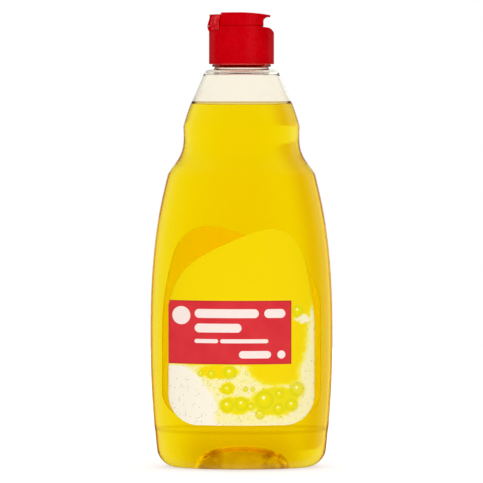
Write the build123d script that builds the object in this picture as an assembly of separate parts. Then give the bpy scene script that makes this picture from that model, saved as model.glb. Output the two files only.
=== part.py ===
from build123d import *
from math import asin, degrees
import os

os.makedirs("parts", exist_ok=True)

# A half-litre squeeze bottle of washing-up liquid, in millimetres. It stands on z = 0 with its axis on Z.
# The wide faces look along -Y (front label) and +Y (back label). The lid hinges at -X and has its lip at +X.

# Bottle body from the standing plane up, each rise measured from the level before it
PANEL_FOOT_HEIGHT = 17.0
PANEL_STEP_HEIGHT = 2.4
BELLY_RISE = 46.6
RIDGE_RISE = 74.5
RIDGE_BAND = 2.4
WAIST_RISE = 15.1
GRIP_TOP_RISE = 5.5
SHOULDER_RISE = 27.1

# Bottle body, half of its width (X) and half of its depth (Y) at those levels
HEEL_HALF_WIDTH, HEEL_HALF_DEPTH = 39.3, 23.8
PANEL_FOOT_HALF_WIDTH, PANEL_FOOT_HALF_DEPTH = 41.4, 25.6
BELLY_HALF_WIDTH, BELLY_HALF_DEPTH = 43.65, 25.8
RIDGE_HALF_WIDTH, RIDGE_HALF_DEPTH = 35.3, 24.2
WAIST_HALF_WIDTH, WAIST_HALF_DEPTH = 27.7, 22.0
GRIP_TOP_HALF_WIDTH, GRIP_TOP_HALF_DEPTH = 27.85, 22.0
SHOULDER_LEDGE = 1.7

# Bottle details
PET_WALL = 0.6
BASE_WALL = 0.9
HEEL_RADIUS = 8.0
PANEL_STEP_WIDTH = 0.4
PANEL_STEP_DEPTH = 0.35
RIDGE_STEP_WIDTH = 1.5
RIDGE_STEP_DEPTH = 0.5
SHOULDER_ROUNDING = 3.0
STANDING_RING_WIDTH, STANDING_RING_DEPTH = 8.8, 3.8
PUNT_RISE = 10.0

# Neck finish
NECK_RADIUS = 13.0
NECK_WALL = 1.8
NECK_BEAD = 0.8
NECK_BEAD_HEIGHT = 1.8
NECK_ROOT_RADIUS = 1.0
NECK_SHOW = 0.4
SUPPORT_RING = 1.1
SUPPORT_RING_HEIGHT = 1.1
SUPPORT_RING_ROUNDING = 0.35

# Contents
HEADSPACE = 17.0
LIQUID_CLEARANCE = 0.08

# Labels
LABEL_FILM = 0.15
LABEL_ADHESIVE = 0.08
LABEL_HALF_WIDTH = 34.7
LABEL_FOOT_ABOVE_PANEL = 2.3
LABEL_CORNER_RADIUS = 14.0
LABEL_LEFT_SIDE = 57.0
LABEL_RIGHT_SIDE = 44.0
LABEL_PEAK_OFFSET = 15.6
LABEL_HEIGHT = 93.2

# Closure
BEAD_CLEARANCE = 0.4
SKIRT_WALL = 1.4
SKIRT_HEIGHT = 18.1
SKIRT_FOOT_CLEARANCE = 0.2
DECK_THICKNESS = 1.8
DECK_CORNER = 0.9
SEAL_CLEARANCE = 0.05
SEAL_RING_HEIGHT = 4.0
SEAL_RING_WALL = 0.9
SNAP_INSET = 6.0
SNAP_CLEARANCE = 0.15
SNAP_RING_HEIGHT = 1.2
RAMP_SETBACK = 2.3
RAMP_NOSE_REACH = 2.4
RAMP_DROP = 0.9
RAMP_NOSE_DROP = 1.3
RAMP_NOSE_HEIGHT = 4.6
ORIFICE_RADIUS = 2.3
SPOUT_WALL = 1.3
SPOUT_FLARE = 1.0
SPOUT_HEIGHT = 3.6
SPOUT_ROUNDING = 0.5

# Lid
LID_SETBACK = 0.25
LID_GAP = 0.1
LID_HEADROOM = 1.0
LID_WALL = 1.5
LID_PLATE = 1.7
LID_CROWN_DROP = 1.15
LID_REAR_STEP = 0.8
LID_REAR_LEDGE = 5.5
SCOOP_DEPTH = 4.85
SCOOP_CORNER_RADIUS = 2.2
LIP_OVERHANG = 3.1
LIP_THICKNESS = 0.75
LIP_ROOT_RADIUS = 2.2
PIN_CLEARANCE = 0.15
PIN_TAPER = 0.45
PIN_ENGAGEMENT = 2.0

# Moulded hinge between base and lid
HINGE_PROUD = 0.7
HINGE_WIDTH = 9.6
HINGE_REACH_DOWN = 2.6
HINGE_PANEL = 1.2
HINGE_FILM = 0.3
HINGE_FILM_HEIGHT = 0.4
HINGE_LEAN = 1.5
STRAP_SPACING_ANGLE = 4.1
STRAP_WIDTH = 7.0
STRAP_FILM = 0.35
STRAP_GAP = 0.06
STRAP_BULGE = 0.25
STRAP_LEAN = 0.65
BASE_RECESS = 0.35
LID_RECESS_LOW, LID_RECESS_HIGH = 0.25, 1.1

# Overlap of two features that are moulded as one, and a length that clears the whole bottle
WELD = 0.3
CLEAR = 200.0

# Heights and places that follow
PANEL_HEIGHT = PANEL_FOOT_HEIGHT + PANEL_STEP_HEIGHT
BELLY_HEIGHT = PANEL_HEIGHT + BELLY_RISE
RIDGE_HEIGHT = BELLY_HEIGHT + RIDGE_RISE
WAIST_HEIGHT = RIDGE_HEIGHT + RIDGE_BAND + WAIST_RISE
GRIP_TOP_HEIGHT = WAIST_HEIGHT + GRIP_TOP_RISE
SHOULDER_HEIGHT = GRIP_TOP_HEIGHT + SHOULDER_RISE
FILL_HEIGHT = SHOULDER_HEIGHT - HEADSPACE
LABEL_FOOT = PANEL_HEIGHT + LABEL_FOOT_ABOVE_PANEL
PUNT_HALF_WIDTH = HEEL_HALF_WIDTH - HEEL_RADIUS - STANDING_RING_WIDTH
PUNT_HALF_DEPTH = HEEL_HALF_DEPTH - HEEL_RADIUS - STANDING_RING_DEPTH
NECK_BORE_RADIUS = NECK_RADIUS - NECK_WALL
SKIRT_BORE_RADIUS = NECK_RADIUS + NECK_BEAD + BEAD_CLEARANCE
SKIRT_RADIUS = SKIRT_BORE_RADIUS + SKIRT_WALL
SHOULDER_RADIUS = SKIRT_RADIUS + SHOULDER_LEDGE
SUPPORT_RING_FOOT = SHOULDER_HEIGHT + NECK_ROOT_RADIUS + NECK_SHOW
SUPPORT_RING_TOP = SUPPORT_RING_FOOT + SUPPORT_RING_HEIGHT
RIM_HEIGHT = SUPPORT_RING_TOP + SKIRT_FOOT_CLEARANCE
SNAP_HEIGHT = RIM_HEIGHT + SNAP_INSET
DECK_TOP = RIM_HEIGHT + SKIRT_HEIGHT
DECK_UNDERSIDE = DECK_TOP - DECK_THICKNESS
NECK_TOP = DECK_UNDERSIDE - SEAL_CLEARANCE
SPOUT_TIP_RADIUS = ORIFICE_RADIUS + SPOUT_WALL
SPOUT_ROOT_RADIUS = SPOUT_TIP_RADIUS + SPOUT_FLARE
RAMP_START = SPOUT_ROOT_RADIUS + RAMP_SETBACK
RAMP_END = SKIRT_RADIUS - RAMP_NOSE_REACH
LID_RADIUS = SKIRT_RADIUS - LID_SETBACK
LID_FOOT = DECK_TOP + LID_GAP
LID_UNDERSIDE = DECK_TOP + SPOUT_HEIGHT + LID_HEADROOM
LID_TOP = LID_UNDERSIDE + LID_PLATE
LID_REAR_TOP = LID_TOP - LID_REAR_STEP
SCOOP_X = LID_RADIUS - SCOOP_DEPTH
HINGE_X = -SKIRT_RADIUS - HINGE_PROUD
HINGE_Z = LID_FOOT
HINGE_HALF_ANGLE = degrees(asin(HINGE_WIDTH / 2 / SKIRT_RADIUS))
STRAP_HALF_ANGLE = degrees(asin(STRAP_WIDTH / 2 / SKIRT_RADIUS))
STRAP_ANGLE = HINGE_HALF_ANGLE + STRAP_HALF_ANGLE + STRAP_SPACING_ANGLE


def between(low, high, share):
    return low + (high - low) * share


def levels_between(start, end, rise, change):
    """Sections (height, half width, half depth) from start to end, by shares of rise and of change."""
    return [
        (between(start[0], end[0], r), between(start[1], end[1], c), between(start[2], end[2], c))
        for r, c in zip(rise, change)
    ]


PANEL_FOOT = (PANEL_FOOT_HEIGHT, PANEL_FOOT_HALF_WIDTH, PANEL_FOOT_HALF_DEPTH)
PANEL_EDGE_HALF_WIDTH = PANEL_FOOT_HALF_WIDTH + PANEL_STEP_WIDTH
PANEL_EDGE_HALF_DEPTH = PANEL_FOOT_HALF_DEPTH - PANEL_STEP_DEPTH
PANEL_EDGE = (PANEL_HEIGHT, PANEL_EDGE_HALF_WIDTH, PANEL_EDGE_HALF_DEPTH)
BELLY = (BELLY_HEIGHT, BELLY_HALF_WIDTH, BELLY_HALF_DEPTH)
RIDGE = (RIDGE_HEIGHT, RIDGE_HALF_WIDTH, RIDGE_HALF_DEPTH)
GRIP_FOOT_HALF_WIDTH = RIDGE_HALF_WIDTH - RIDGE_STEP_WIDTH
GRIP_FOOT_HALF_DEPTH = RIDGE_HALF_DEPTH - RIDGE_STEP_DEPTH
GRIP_FOOT = (RIDGE_HEIGHT + RIDGE_BAND, GRIP_FOOT_HALF_WIDTH, GRIP_FOOT_HALF_DEPTH)
WAIST = (WAIST_HEIGHT, WAIST_HALF_WIDTH, WAIST_HALF_DEPTH)
GRIP_TOP = (GRIP_TOP_HEIGHT, GRIP_TOP_HALF_WIDTH, GRIP_TOP_HALF_DEPTH)
SHOULDER = (SHOULDER_HEIGHT, SHOULDER_RADIUS, SHOULDER_RADIUS)


def lower_levels():
    """Heel to the foot of the label panel."""
    heel = (0, HEEL_HALF_WIDTH, HEEL_HALF_DEPTH)
    return levels_between(heel, PANEL_FOOT, [0, 0.5, 1], [0, 0.6, 1])


def panel_levels():
    """Label panel: fullest at the belly, tapering ever faster up to the ridge."""
    swelling = levels_between(PANEL_EDGE, BELLY, [0, 0.42, 1], [0, 0.72, 1])
    tapering = levels_between(BELLY, RIDGE, [0.22, 0.44, 0.62, 0.80, 1], [0.035, 0.15, 0.325, 0.59, 1])
    return swelling + tapering


def grip_levels():
    """Flare in from the ridge to the waist, then the slight swell at the grip's top."""
    flare = levels_between(GRIP_FOOT, WAIST, [0, 0.28, 0.56, 1], [0, 0.50, 0.84, 1])
    return flare + [GRIP_TOP]


def shoulder_levels():
    """Shoulder from the grip's top to the round top."""
    return levels_between(GRIP_TOP, SHOULDER, [0, 0.36, 0.64, 1], [0, 0.295, 0.62, 1])


def tower(levels, growth):
    """Solid through elliptical sections, each grown outwards by the same amount."""
    return loft([Pos(0, 0, z) * Ellipse(a + growth, b + growth) for z, a, b in levels])


def body(growth, floor):
    """Body outline without the neck, grown outwards or inwards, standing at the given floor height."""
    lower, panel, grip = lower_levels(), panel_levels(), grip_levels()
    stack = tower(lower, growth)
    stack += tower([lower[-1], panel[0]], growth)
    stack += tower(panel, growth)
    stack += tower([panel[-1], grip[0]], growth)
    stack += tower(grip, growth)
    stack += tower(shoulder_levels(), growth)
    if floor > 0:
        stack -= Pos(0, 0, floor / 2) * Box(CLEAR, CLEAR, floor)
    heel = stack.edges().sort_by(Axis.Z)[0]
    stack = fillet(heel, HEEL_RADIUS + growth)
    brim = stack.edges().sort_by(Axis.Z)[-1]
    return fillet(brim, SHOULDER_ROUNDING)


def punt(growth):
    """Dome pushed up into the base."""
    return scale(Sphere(1), by=(PUNT_HALF_WIDTH + growth, PUNT_HALF_DEPTH + growth, PUNT_RISE + growth))


def above(height):
    """Everything above a height."""
    return Pos(0, 0, height + CLEAR / 2) * Box(CLEAR, CLEAR, CLEAR)


def cavity(clearance):
    """Room inside the bottle's wall, up to the underside of the shoulder's top."""
    inset = PET_WALL + clearance
    room = body(-inset, BASE_WALL + clearance) - punt(inset)
    return room - above(SHOULDER_HEIGHT - inset)


def ring_bead(inner, outer, foot, height):
    """Ring with a sloped upper face, which snaps past its mate."""
    profile = Polyline(
        (inner, foot), (outer, foot), (outer, foot + height * 0.4), (inner, foot + height), (inner, foot)
    )
    return revolve(Plane.XZ * make_face(profile), Axis.Z)


def disc(radius, foot, top):
    """Upright cylinder between two heights."""
    return Pos(0, 0, (foot + top) / 2) * Cylinder(radius, top - foot)


def bottle():
    """Blown bottle: thin wall, pushed-up base, thick neck with a support ring and a snap bead."""
    shell = body(0, 0) + disc(NECK_RADIUS, SHOULDER_HEIGHT, NECK_TOP)
    circles = shell.edges().filter_by(GeomType.CIRCLE)
    at_root = circles.filter_by_position(Axis.Z, SHOULDER_HEIGHT - 0.01, SHOULDER_HEIGHT + 0.01)
    shell = fillet(at_root.sort_by(SortBy.RADIUS)[0], NECK_ROOT_RADIUS)
    support = disc(NECK_RADIUS + SUPPORT_RING, SUPPORT_RING_FOOT, SUPPORT_RING_TOP)
    shell += fillet(support.edges().filter_by(GeomType.CIRCLE), SUPPORT_RING_ROUNDING)
    bead_foot = SNAP_HEIGHT + SNAP_CLEARANCE
    shell += ring_bead(NECK_RADIUS - WELD, NECK_RADIUS + NECK_BEAD, bead_foot, NECK_BEAD_HEIGHT)
    shell -= punt(0)
    shell -= cavity(0)
    return shell - disc(NECK_BORE_RADIUS, SHOULDER_HEIGHT - 2 * PET_WALL, NECK_TOP)


def liquid():
    """Washing-up liquid, filled to just above the grip."""
    return cavity(LIQUID_CLEARANCE) - above(FILL_HEIGHT)


def label_outline():
    """Die-cut outline in front view: straight foot and sides, lopsided arch with its peak right of centre."""
    w = LABEL_HALF_WIDTH
    r = LABEL_CORNER_RADIUS
    foot = LABEL_FOOT
    left = foot + LABEL_LEFT_SIDE
    right = foot + LABEL_RIGHT_SIDE
    peak = foot + LABEL_HEIGHT
    arch = Spline(
        (w, right),
        (w - 3.4, between(right, peak, 0.60)),
        (w - 11.3, between(right, peak, 0.936)),
        (LABEL_PEAK_OFFSET, peak),
        (LABEL_PEAK_OFFSET - 9.2, between(left, peak, 0.96)),
        (-w + 24.2, between(left, peak, 0.766)),
        (-w + 10.9, between(left, peak, 0.548)),
        (-w + 4.9, between(left, peak, 0.368)),
        (-w, left),
        tangents=[(0, 1), (-0.25, -1)],
    )
    left_side = Line((-w, left), (-w, foot + r))
    left_corner = RadiusArc((-w, foot + r), (-w + r, foot), -r)
    foot_side = Line((-w + r, foot), (w - r, foot))
    right_corner = RadiusArc((w - r, foot), (w, foot + r), -r)
    right_side = Line((w, foot + r), (w, right))
    return make_face([arch, left_side, left_corner, foot_side, right_corner, right_side])


def front_label():
    """Film wrapped on the front of the label panel."""
    film = tower(panel_levels(), LABEL_ADHESIVE + LABEL_FILM) - tower(panel_levels(), LABEL_ADHESIVE)
    return film & extrude(Plane.XZ * label_outline(), CLEAR)


def back_label():
    """The same film on the back, turned half round."""
    return front_label().rotate(Axis.Z, 180)


def side_prism(outline, half_width=CLEAR / 2):
    """Prism along Y through an outline drawn in X and Z."""
    return extrude(Plane.XZ * make_face(outline), half_width, both=True)


def closed(*points):
    return Polyline(*points, points[0])


def thumb_ramp():
    """Space above the sloped and rounded front of the base, below the thumb lip."""
    slope_end = (RAMP_END, DECK_TOP - RAMP_DROP)
    nose_mid = (SKIRT_RADIUS - SKIRT_WALL / 2, slope_end[1] - RAMP_NOSE_DROP)
    nose_end = (SKIRT_RADIUS + WELD, slope_end[1] - RAMP_NOSE_HEIGHT)
    far_x, far_z = SKIRT_RADIUS + 5, DECK_TOP + 5
    slope = Line((RAMP_START, DECK_TOP), slope_end)
    nose = ThreePointArc(slope_end, nose_mid, nose_end)
    start = (RAMP_START, DECK_TOP)
    rest = Polyline(nose_end, (far_x, nose_end[1]), (far_x, far_z), (RAMP_START, far_z), start)
    return side_prism([slope, nose, rest])


def on_flank(shape, side):
    """Turns a shape that faces +X to the rear flank, +1 on the +Y side and -1 on the -Y side."""
    return shape.rotate(Axis.Z, 180 - side * STRAP_ANGLE)


def flank_recess(side, foot, top, low_distance, high_distance):
    """Cut that leaves a flat, upright or leaning in, on one rear flank of the closure."""
    far = SKIRT_RADIUS + 5
    outline = closed((low_distance, foot), (high_distance, top), (far, top), (far, foot))
    return on_flank(side_prism(outline), side)


def hinge_strap(side):
    """Thin plate folded outwards at the hinge line, joining base and lid on one flank."""
    low = SKIRT_RADIUS - BASE_RECESS + STRAP_GAP
    knee = low + STRAP_BULGE
    high = low - STRAP_LEAN
    foot = HINGE_Z - HINGE_REACH_DOWN + 0.6
    top = LID_REAR_TOP - 0.5
    outline = closed(
        (low, foot),
        (knee, HINGE_Z),
        (high, top),
        (high + STRAP_FILM, top),
        (knee + STRAP_FILM, HINGE_Z),
        (low + STRAP_FILM, foot),
    )
    return on_flank(side_prism(outline, STRAP_WIDTH / 2), side)


def base_hinge_panel():
    """Lower half of the hinge's middle, bulging out to the hinge line."""
    top = HINGE_Z - HINGE_FILM_HEIGHT / 2
    foot = top - HINGE_REACH_DOWN
    inner = -SKIRT_RADIUS + HINGE_PANEL
    outline = closed(
        (HINGE_X, top),
        (HINGE_X + 0.1, (top + foot) / 2),
        (-SKIRT_RADIUS + 0.1, foot),
        (inner, foot),
        (inner, top),
    )
    return side_prism(outline, HINGE_WIDTH / 2)


def lid_hinge_panel():
    """Upper half of the hinge's middle, leaning in to the lid's rear ledge."""
    foot = HINGE_Z + HINGE_FILM_HEIGHT / 2
    outline = closed(
        (HINGE_X, foot),
        (HINGE_X + HINGE_LEAN, LID_REAR_TOP),
        (HINGE_X + HINGE_LEAN + HINGE_PANEL, LID_REAR_TOP),
        (HINGE_X + HINGE_PROUD + HINGE_PANEL, foot),
    )
    return side_prism(outline, HINGE_WIDTH / 2)


def cap_base():
    """Snap-on skirt with its deck, seal ring, spout and the lower half of the hinge."""
    cap = disc(SKIRT_RADIUS, RIM_HEIGHT, DECK_TOP) - thumb_ramp()
    flat = SKIRT_RADIUS - BASE_RECESS
    for side in (1, -1):
        cap -= flank_recess(side, DECK_TOP - HINGE_REACH_DOWN, DECK_TOP + 1, flat, flat)
    room = disc(SKIRT_BORE_RADIUS, RIM_HEIGHT, DECK_UNDERSIDE)
    cap -= chamfer(room.edges().sort_by(Axis.Z)[-1], DECK_CORNER)
    snap_inner = NECK_RADIUS + SNAP_CLEARANCE
    cap += ring_bead(snap_inner, SKIRT_BORE_RADIUS + WELD, SNAP_HEIGHT - SNAP_RING_HEIGHT, SNAP_RING_HEIGHT)
    seal_radius = NECK_BORE_RADIUS - SEAL_CLEARANCE
    seal_foot = DECK_UNDERSIDE - SEAL_RING_HEIGHT
    seal_top = DECK_UNDERSIDE + WELD
    seal = disc(seal_radius, seal_foot, seal_top)
    cap += seal - disc(seal_radius - SEAL_RING_WALL, seal_foot, DECK_UNDERSIDE)
    spout = Cone(SPOUT_ROOT_RADIUS, SPOUT_TIP_RADIUS, SPOUT_HEIGHT)
    spout = fillet(spout.edges().sort_by(Axis.Z)[-1], SPOUT_ROUNDING)
    cap += Pos(0, 0, DECK_TOP + SPOUT_HEIGHT / 2) * spout
    cap -= disc(ORIFICE_RADIUS, DECK_UNDERSIDE, DECK_TOP + SPOUT_HEIGHT)
    return cap + base_hinge_panel()


def lid_plate(root_z):
    """Lid's top with its crown, thumb lip and the hollow under the lip, down to the given height."""
    tip_x = SCOOP_X + LIP_OVERHANG
    tip_z = LID_TOP - LID_CROWN_DROP
    lip_z = tip_z - LIP_THICKNESS
    lip_under = (tip_x - 0.1, lip_z)
    crown = ThreePointArc((0, LID_TOP), (tip_x * 0.57, between(LID_TOP, tip_z, 0.4)), (tip_x, tip_z))
    tip = ThreePointArc((tip_x, tip_z), (tip_x + 0.2, (tip_z + lip_z) / 2), lip_under)
    hollow_mid = (SCOOP_X + LIP_ROOT_RADIUS * 0.36, lip_z - LIP_ROOT_RADIUS * 0.22)
    hollow = ThreePointArc(lip_under, hollow_mid, (SCOOP_X, root_z))
    far_x = -LID_RADIUS - 5
    back = Polyline((SCOOP_X, root_z), (far_x, root_z), (far_x, LID_TOP), (0, LID_TOP))
    return disc(LID_RADIUS, LID_FOOT, LID_TOP) & side_prism([crown, tip, hollow, back])


def behind(x):
    """Plan region behind a line across the lid."""
    return Pos(x - CLEAR / 2, 0) * Rectangle(CLEAR, CLEAR)


def flip_lid():
    """Hinged lid: scooped front under a thumb lip, stepped rear, sealing pin inside."""
    root_z = LID_TOP - LID_CROWN_DROP - LIP_THICKNESS - LIP_ROOT_RADIUS * 0.82
    plan = Circle(LID_RADIUS) & behind(SCOOP_X)
    front_corners = plan.vertices().filter_by_position(Axis.X, SCOOP_X - 0.01, SCOOP_X + 0.01)
    plan = fillet(front_corners, SCOOP_CORNER_RADIUS)
    lid = lid_plate(root_z) + Pos(0, 0, LID_FOOT) * extrude(plan, root_z - LID_FOOT + WELD)
    room_plan = Circle(LID_RADIUS - LID_WALL) & behind(SCOOP_X - LID_WALL)
    lid -= Pos(0, 0, LID_FOOT) * extrude(room_plan, LID_UNDERSIDE - LID_FOOT)
    ledge = LID_RADIUS - LID_REAR_LEDGE
    lid -= Pos(-ledge - CLEAR / 2, 0, 0) * above(LID_REAR_TOP)
    flat_low = LID_RADIUS - LID_RECESS_LOW
    flat_high = LID_RADIUS - LID_RECESS_HIGH
    for side in (1, -1):
        lid -= flank_recess(side, LID_FOOT - 1, LID_TOP, flat_low, flat_high)
    pin_radius = ORIFICE_RADIUS - PIN_CLEARANCE
    pin_tip = DECK_TOP + SPOUT_HEIGHT - PIN_ENGAGEMENT
    pin_height = LID_UNDERSIDE + WELD - pin_tip
    lid += Pos(0, 0, pin_tip + pin_height / 2) * Cone(pin_radius - PIN_TAPER, pin_radius, pin_height)
    return lid + lid_hinge_panel()


def living_hinge():
    """Film at the hinge line and the two folded side straps."""
    film = Pos(HINGE_X + HINGE_FILM / 2, 0, HINGE_Z) * Box(HINGE_FILM, HINGE_WIDTH, HINGE_FILM_HEIGHT)
    return Compound(children=[film, hinge_strap(1), hinge_strap(-1)])


for name, make in {
    "bottle": bottle,
    "liquid": liquid,
    "front_label": front_label,
    "back_label": back_label,
    "cap_base": cap_base,
    "flip_lid": flip_lid,
    "living_hinge": living_hinge,
}.items():
    export_step(make(), f"parts/{name}.step")
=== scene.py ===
import math
import bmesh
import bpy
import numpy as np
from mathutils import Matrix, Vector


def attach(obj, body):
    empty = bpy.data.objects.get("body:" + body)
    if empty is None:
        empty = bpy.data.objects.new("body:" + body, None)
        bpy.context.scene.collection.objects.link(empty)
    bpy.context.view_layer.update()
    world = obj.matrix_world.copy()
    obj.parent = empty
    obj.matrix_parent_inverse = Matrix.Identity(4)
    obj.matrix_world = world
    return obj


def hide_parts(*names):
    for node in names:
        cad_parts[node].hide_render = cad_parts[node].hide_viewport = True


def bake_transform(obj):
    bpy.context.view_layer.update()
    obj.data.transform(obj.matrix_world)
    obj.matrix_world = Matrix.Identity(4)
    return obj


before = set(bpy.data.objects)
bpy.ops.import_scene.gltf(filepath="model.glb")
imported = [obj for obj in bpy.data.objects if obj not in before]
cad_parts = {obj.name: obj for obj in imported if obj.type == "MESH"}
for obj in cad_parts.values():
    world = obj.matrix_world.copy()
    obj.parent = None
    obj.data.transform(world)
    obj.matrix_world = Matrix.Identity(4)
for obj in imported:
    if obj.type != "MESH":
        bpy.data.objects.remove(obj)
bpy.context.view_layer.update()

MM = 0.001
AROUND = 144  # points round each ring of the bottle and the liquid
RING_STEP = 1.0  # height between rings up the body
STRAP_STEPS, STRAP_COLUMNS = 33, 14
LABEL_COLUMNS, LABEL_ROWS = 110, 150
LABEL_SINK = 0.05  # the label's inner face lies this far into the wall, so that no air shows
COINCIDENT = 1e-7  # points nearer than this, in metres, are joined

# Driving sizes in millimetres: the CAD model's values, where it has them
PANEL_FOOT_HEIGHT, PANEL_STEP_HEIGHT = 17.0, 2.4
BELLY_RISE, RIDGE_RISE, RIDGE_BAND = 46.6, 74.5, 2.4
WAIST_RISE, GRIP_TOP_RISE, SHOULDER_RISE = 15.1, 5.5, 27.1
HEEL = (0.0, 39.3, 23.8)
PANEL_FOOT = (PANEL_FOOT_HEIGHT, 41.4, 25.6)
PANEL_STEP_WIDTH, PANEL_STEP_DEPTH = 0.4, 0.35
RIDGE_STEP_WIDTH, RIDGE_STEP_DEPTH = 1.5, 0.5
PET_WALL, BASE_WALL, HEEL_RADIUS, SHOULDER_ROUNDING = 0.6, 0.9, 8.0, 3.0
STANDING_RING_WIDTH, STANDING_RING_DEPTH, PUNT_RISE = 8.8, 3.8, 10.0
NECK_RADIUS, NECK_WALL, NECK_BEAD, NECK_ROOT_RADIUS, NECK_SHOW = 13.0, 1.8, 0.8, 1.0, 0.4
SUPPORT_RING, SUPPORT_RING_HEIGHT, SKIRT_FOOT_CLEARANCE = 1.1, 1.1, 0.2
HEADSPACE, MENISCUS_RISE, MENISCUS_REACH = 17.0, 1.7, 2.4
SKIRT_RADIUS, SHOULDER_LEDGE, SKIRT_HEIGHT = 15.6, 1.7, 18.1
SNAP_INSET, SNAP_CLEARANCE, DECK_THICKNESS, SEAL_CLEARANCE = 6.0, 0.15, 1.8, 0.05
LABEL_FILM, LABEL_HALF_WIDTH, LABEL_FOOT_ABOVE_PANEL, LABEL_CORNER_RADIUS = 0.15, 34.7, 2.3, 14.0
LABEL_LEFT_SIDE, LABEL_RIGHT_SIDE, LABEL_PEAK_OFFSET, LABEL_HEIGHT = 57.0, 44.0, 15.6, 93.2
LID_GAP, HINGE_PROUD, HINGE_WIDTH = 0.1, 0.7, 9.6
STRAP_ANGLE, STRAP_WIDTH, STRAP_FILM = 35.0, 7.0, 0.35
STRAP_PROUD, HINGE_FILM, FILM_INSET = 0.06, 0.27, 0.3
# The strap's line at rest: how far out and how far above the hinge
STRAP_BOW = [(0.0, -2.0), (0.12, -1.0), (0.25, 0.0), (-0.05, 2.0), (-0.65, 4.9)]

PANEL_EDGE_HEIGHT = PANEL_FOOT_HEIGHT + PANEL_STEP_HEIGHT
PANEL_EDGE = (PANEL_EDGE_HEIGHT, PANEL_FOOT[1] + PANEL_STEP_WIDTH, PANEL_FOOT[2] - PANEL_STEP_DEPTH)
BELLY = (PANEL_EDGE_HEIGHT + BELLY_RISE, 43.65, 25.8)
RIDGE = (BELLY[0] + RIDGE_RISE, 35.3, 24.2)
GRIP_FOOT = (RIDGE[0] + RIDGE_BAND, RIDGE[1] - RIDGE_STEP_WIDTH, RIDGE[2] - RIDGE_STEP_DEPTH)
WAIST = (GRIP_FOOT[0] + WAIST_RISE, 27.7, 22.0)
GRIP_TOP = (WAIST[0] + GRIP_TOP_RISE, 27.85, 22.0)
SHOULDER_RADIUS = SKIRT_RADIUS + SHOULDER_LEDGE
SHOULDER = (GRIP_TOP[0] + SHOULDER_RISE, SHOULDER_RADIUS, SHOULDER_RADIUS)
SHOULDER_HEIGHT = SHOULDER[0]
FILL_HEIGHT = SHOULDER_HEIGHT - HEADSPACE
PUNT = (HEEL[1] - HEEL_RADIUS - STANDING_RING_WIDTH, HEEL[2] - HEEL_RADIUS - STANDING_RING_DEPTH, PUNT_RISE)
RING_FOOT = SHOULDER_HEIGHT + NECK_ROOT_RADIUS + NECK_SHOW
RING_TOP = RING_FOOT + SUPPORT_RING_HEIGHT
RIM_HEIGHT = RING_TOP + SKIRT_FOOT_CLEARANCE
DECK_TOP = RIM_HEIGHT + SKIRT_HEIGHT
NECK_TOP = DECK_TOP - DECK_THICKNESS - SEAL_CLEARANCE
BEAD_FOOT = RIM_HEIGHT + SNAP_INSET + SNAP_CLEARANCE
LABEL_FOOT = PANEL_EDGE_HEIGHT + LABEL_FOOT_ABOVE_PANEL
HINGE_X, HINGE_Z = -SKIRT_RADIUS - HINGE_PROUD, DECK_TOP + LID_GAP


def levels_between(start, end, rise, change):
    """Sections (height, half width, half depth) from start to end, by shares of rise and of change."""
    return [
        (
            start[0] + (end[0] - start[0]) * r,
            start[1] + (end[1] - start[1]) * c,
            start[2] + (end[2] - start[2]) * c,
        )
        for r, c in zip(rise, change)
    ]


LOWER = levels_between(HEEL, PANEL_FOOT, [0, 0.5, 1], [0, 0.6, 1])
PANEL = levels_between(PANEL_EDGE, BELLY, [0, 0.42, 1], [0, 0.72, 1])
PANEL += levels_between(BELLY, RIDGE, [0.22, 0.44, 0.62, 0.80, 1], [0.035, 0.15, 0.325, 0.59, 1])
GRIP = levels_between(GRIP_FOOT, WAIST, [0, 0.28, 0.56, 1], [0, 0.50, 0.84, 1]) + [GRIP_TOP]
UPPER = levels_between(GRIP_TOP, SHOULDER, [0, 0.36, 0.64, 1], [0, 0.295, 0.62, 1])
TOWERS = [LOWER, [LOWER[-1], PANEL[0]], PANEL, [PANEL[-1], GRIP[0]], GRIP, UPPER]


def natural_spline(knots, values, at):
    """Smooth curve through the knots, with no bend at its two ends."""
    x, y = np.asarray(knots, float), np.asarray(values, float)
    n = len(x)
    h = np.diff(x)
    slope = np.diff(y) / h
    matrix = np.eye(n)
    right = np.zeros(n)
    for i in range(1, n - 1):
        matrix[i, i - 1:i + 2] = h[i - 1], 2 * (h[i - 1] + h[i]), h[i]
        right[i] = 6 * (slope[i] - slope[i - 1])
    bend = np.linalg.solve(matrix, right)
    i = int(np.clip(np.searchsorted(x, at) - 1, 0, n - 2))
    left, width = at - x[i], h[i]
    rest = width - left
    return float(
        bend[i] * rest**3 / (6 * width)
        + bend[i + 1] * left**3 / (6 * width)
        + (y[i] / width - bend[i] * width / 6) * rest
        + (y[i + 1] / width - bend[i + 1] * width / 6) * left
    )


def run_length(points):
    """Length along a run of points, from its start to each of them."""
    return np.concatenate([[0], np.cumsum(np.hypot(*np.diff(np.array(points), axis=0).T))])


def section(height):
    """Half width and half depth of the bottle's outside at a height."""
    for levels in TOWERS:
        if height <= levels[-1][0]:
            z, a, b = zip(*levels)
            at = max(height, z[0])
            return min(natural_spline(z, a, at), BELLY[1]), min(natural_spline(z, b, at), BELLY[2])
    return SHOULDER[1:]


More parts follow.
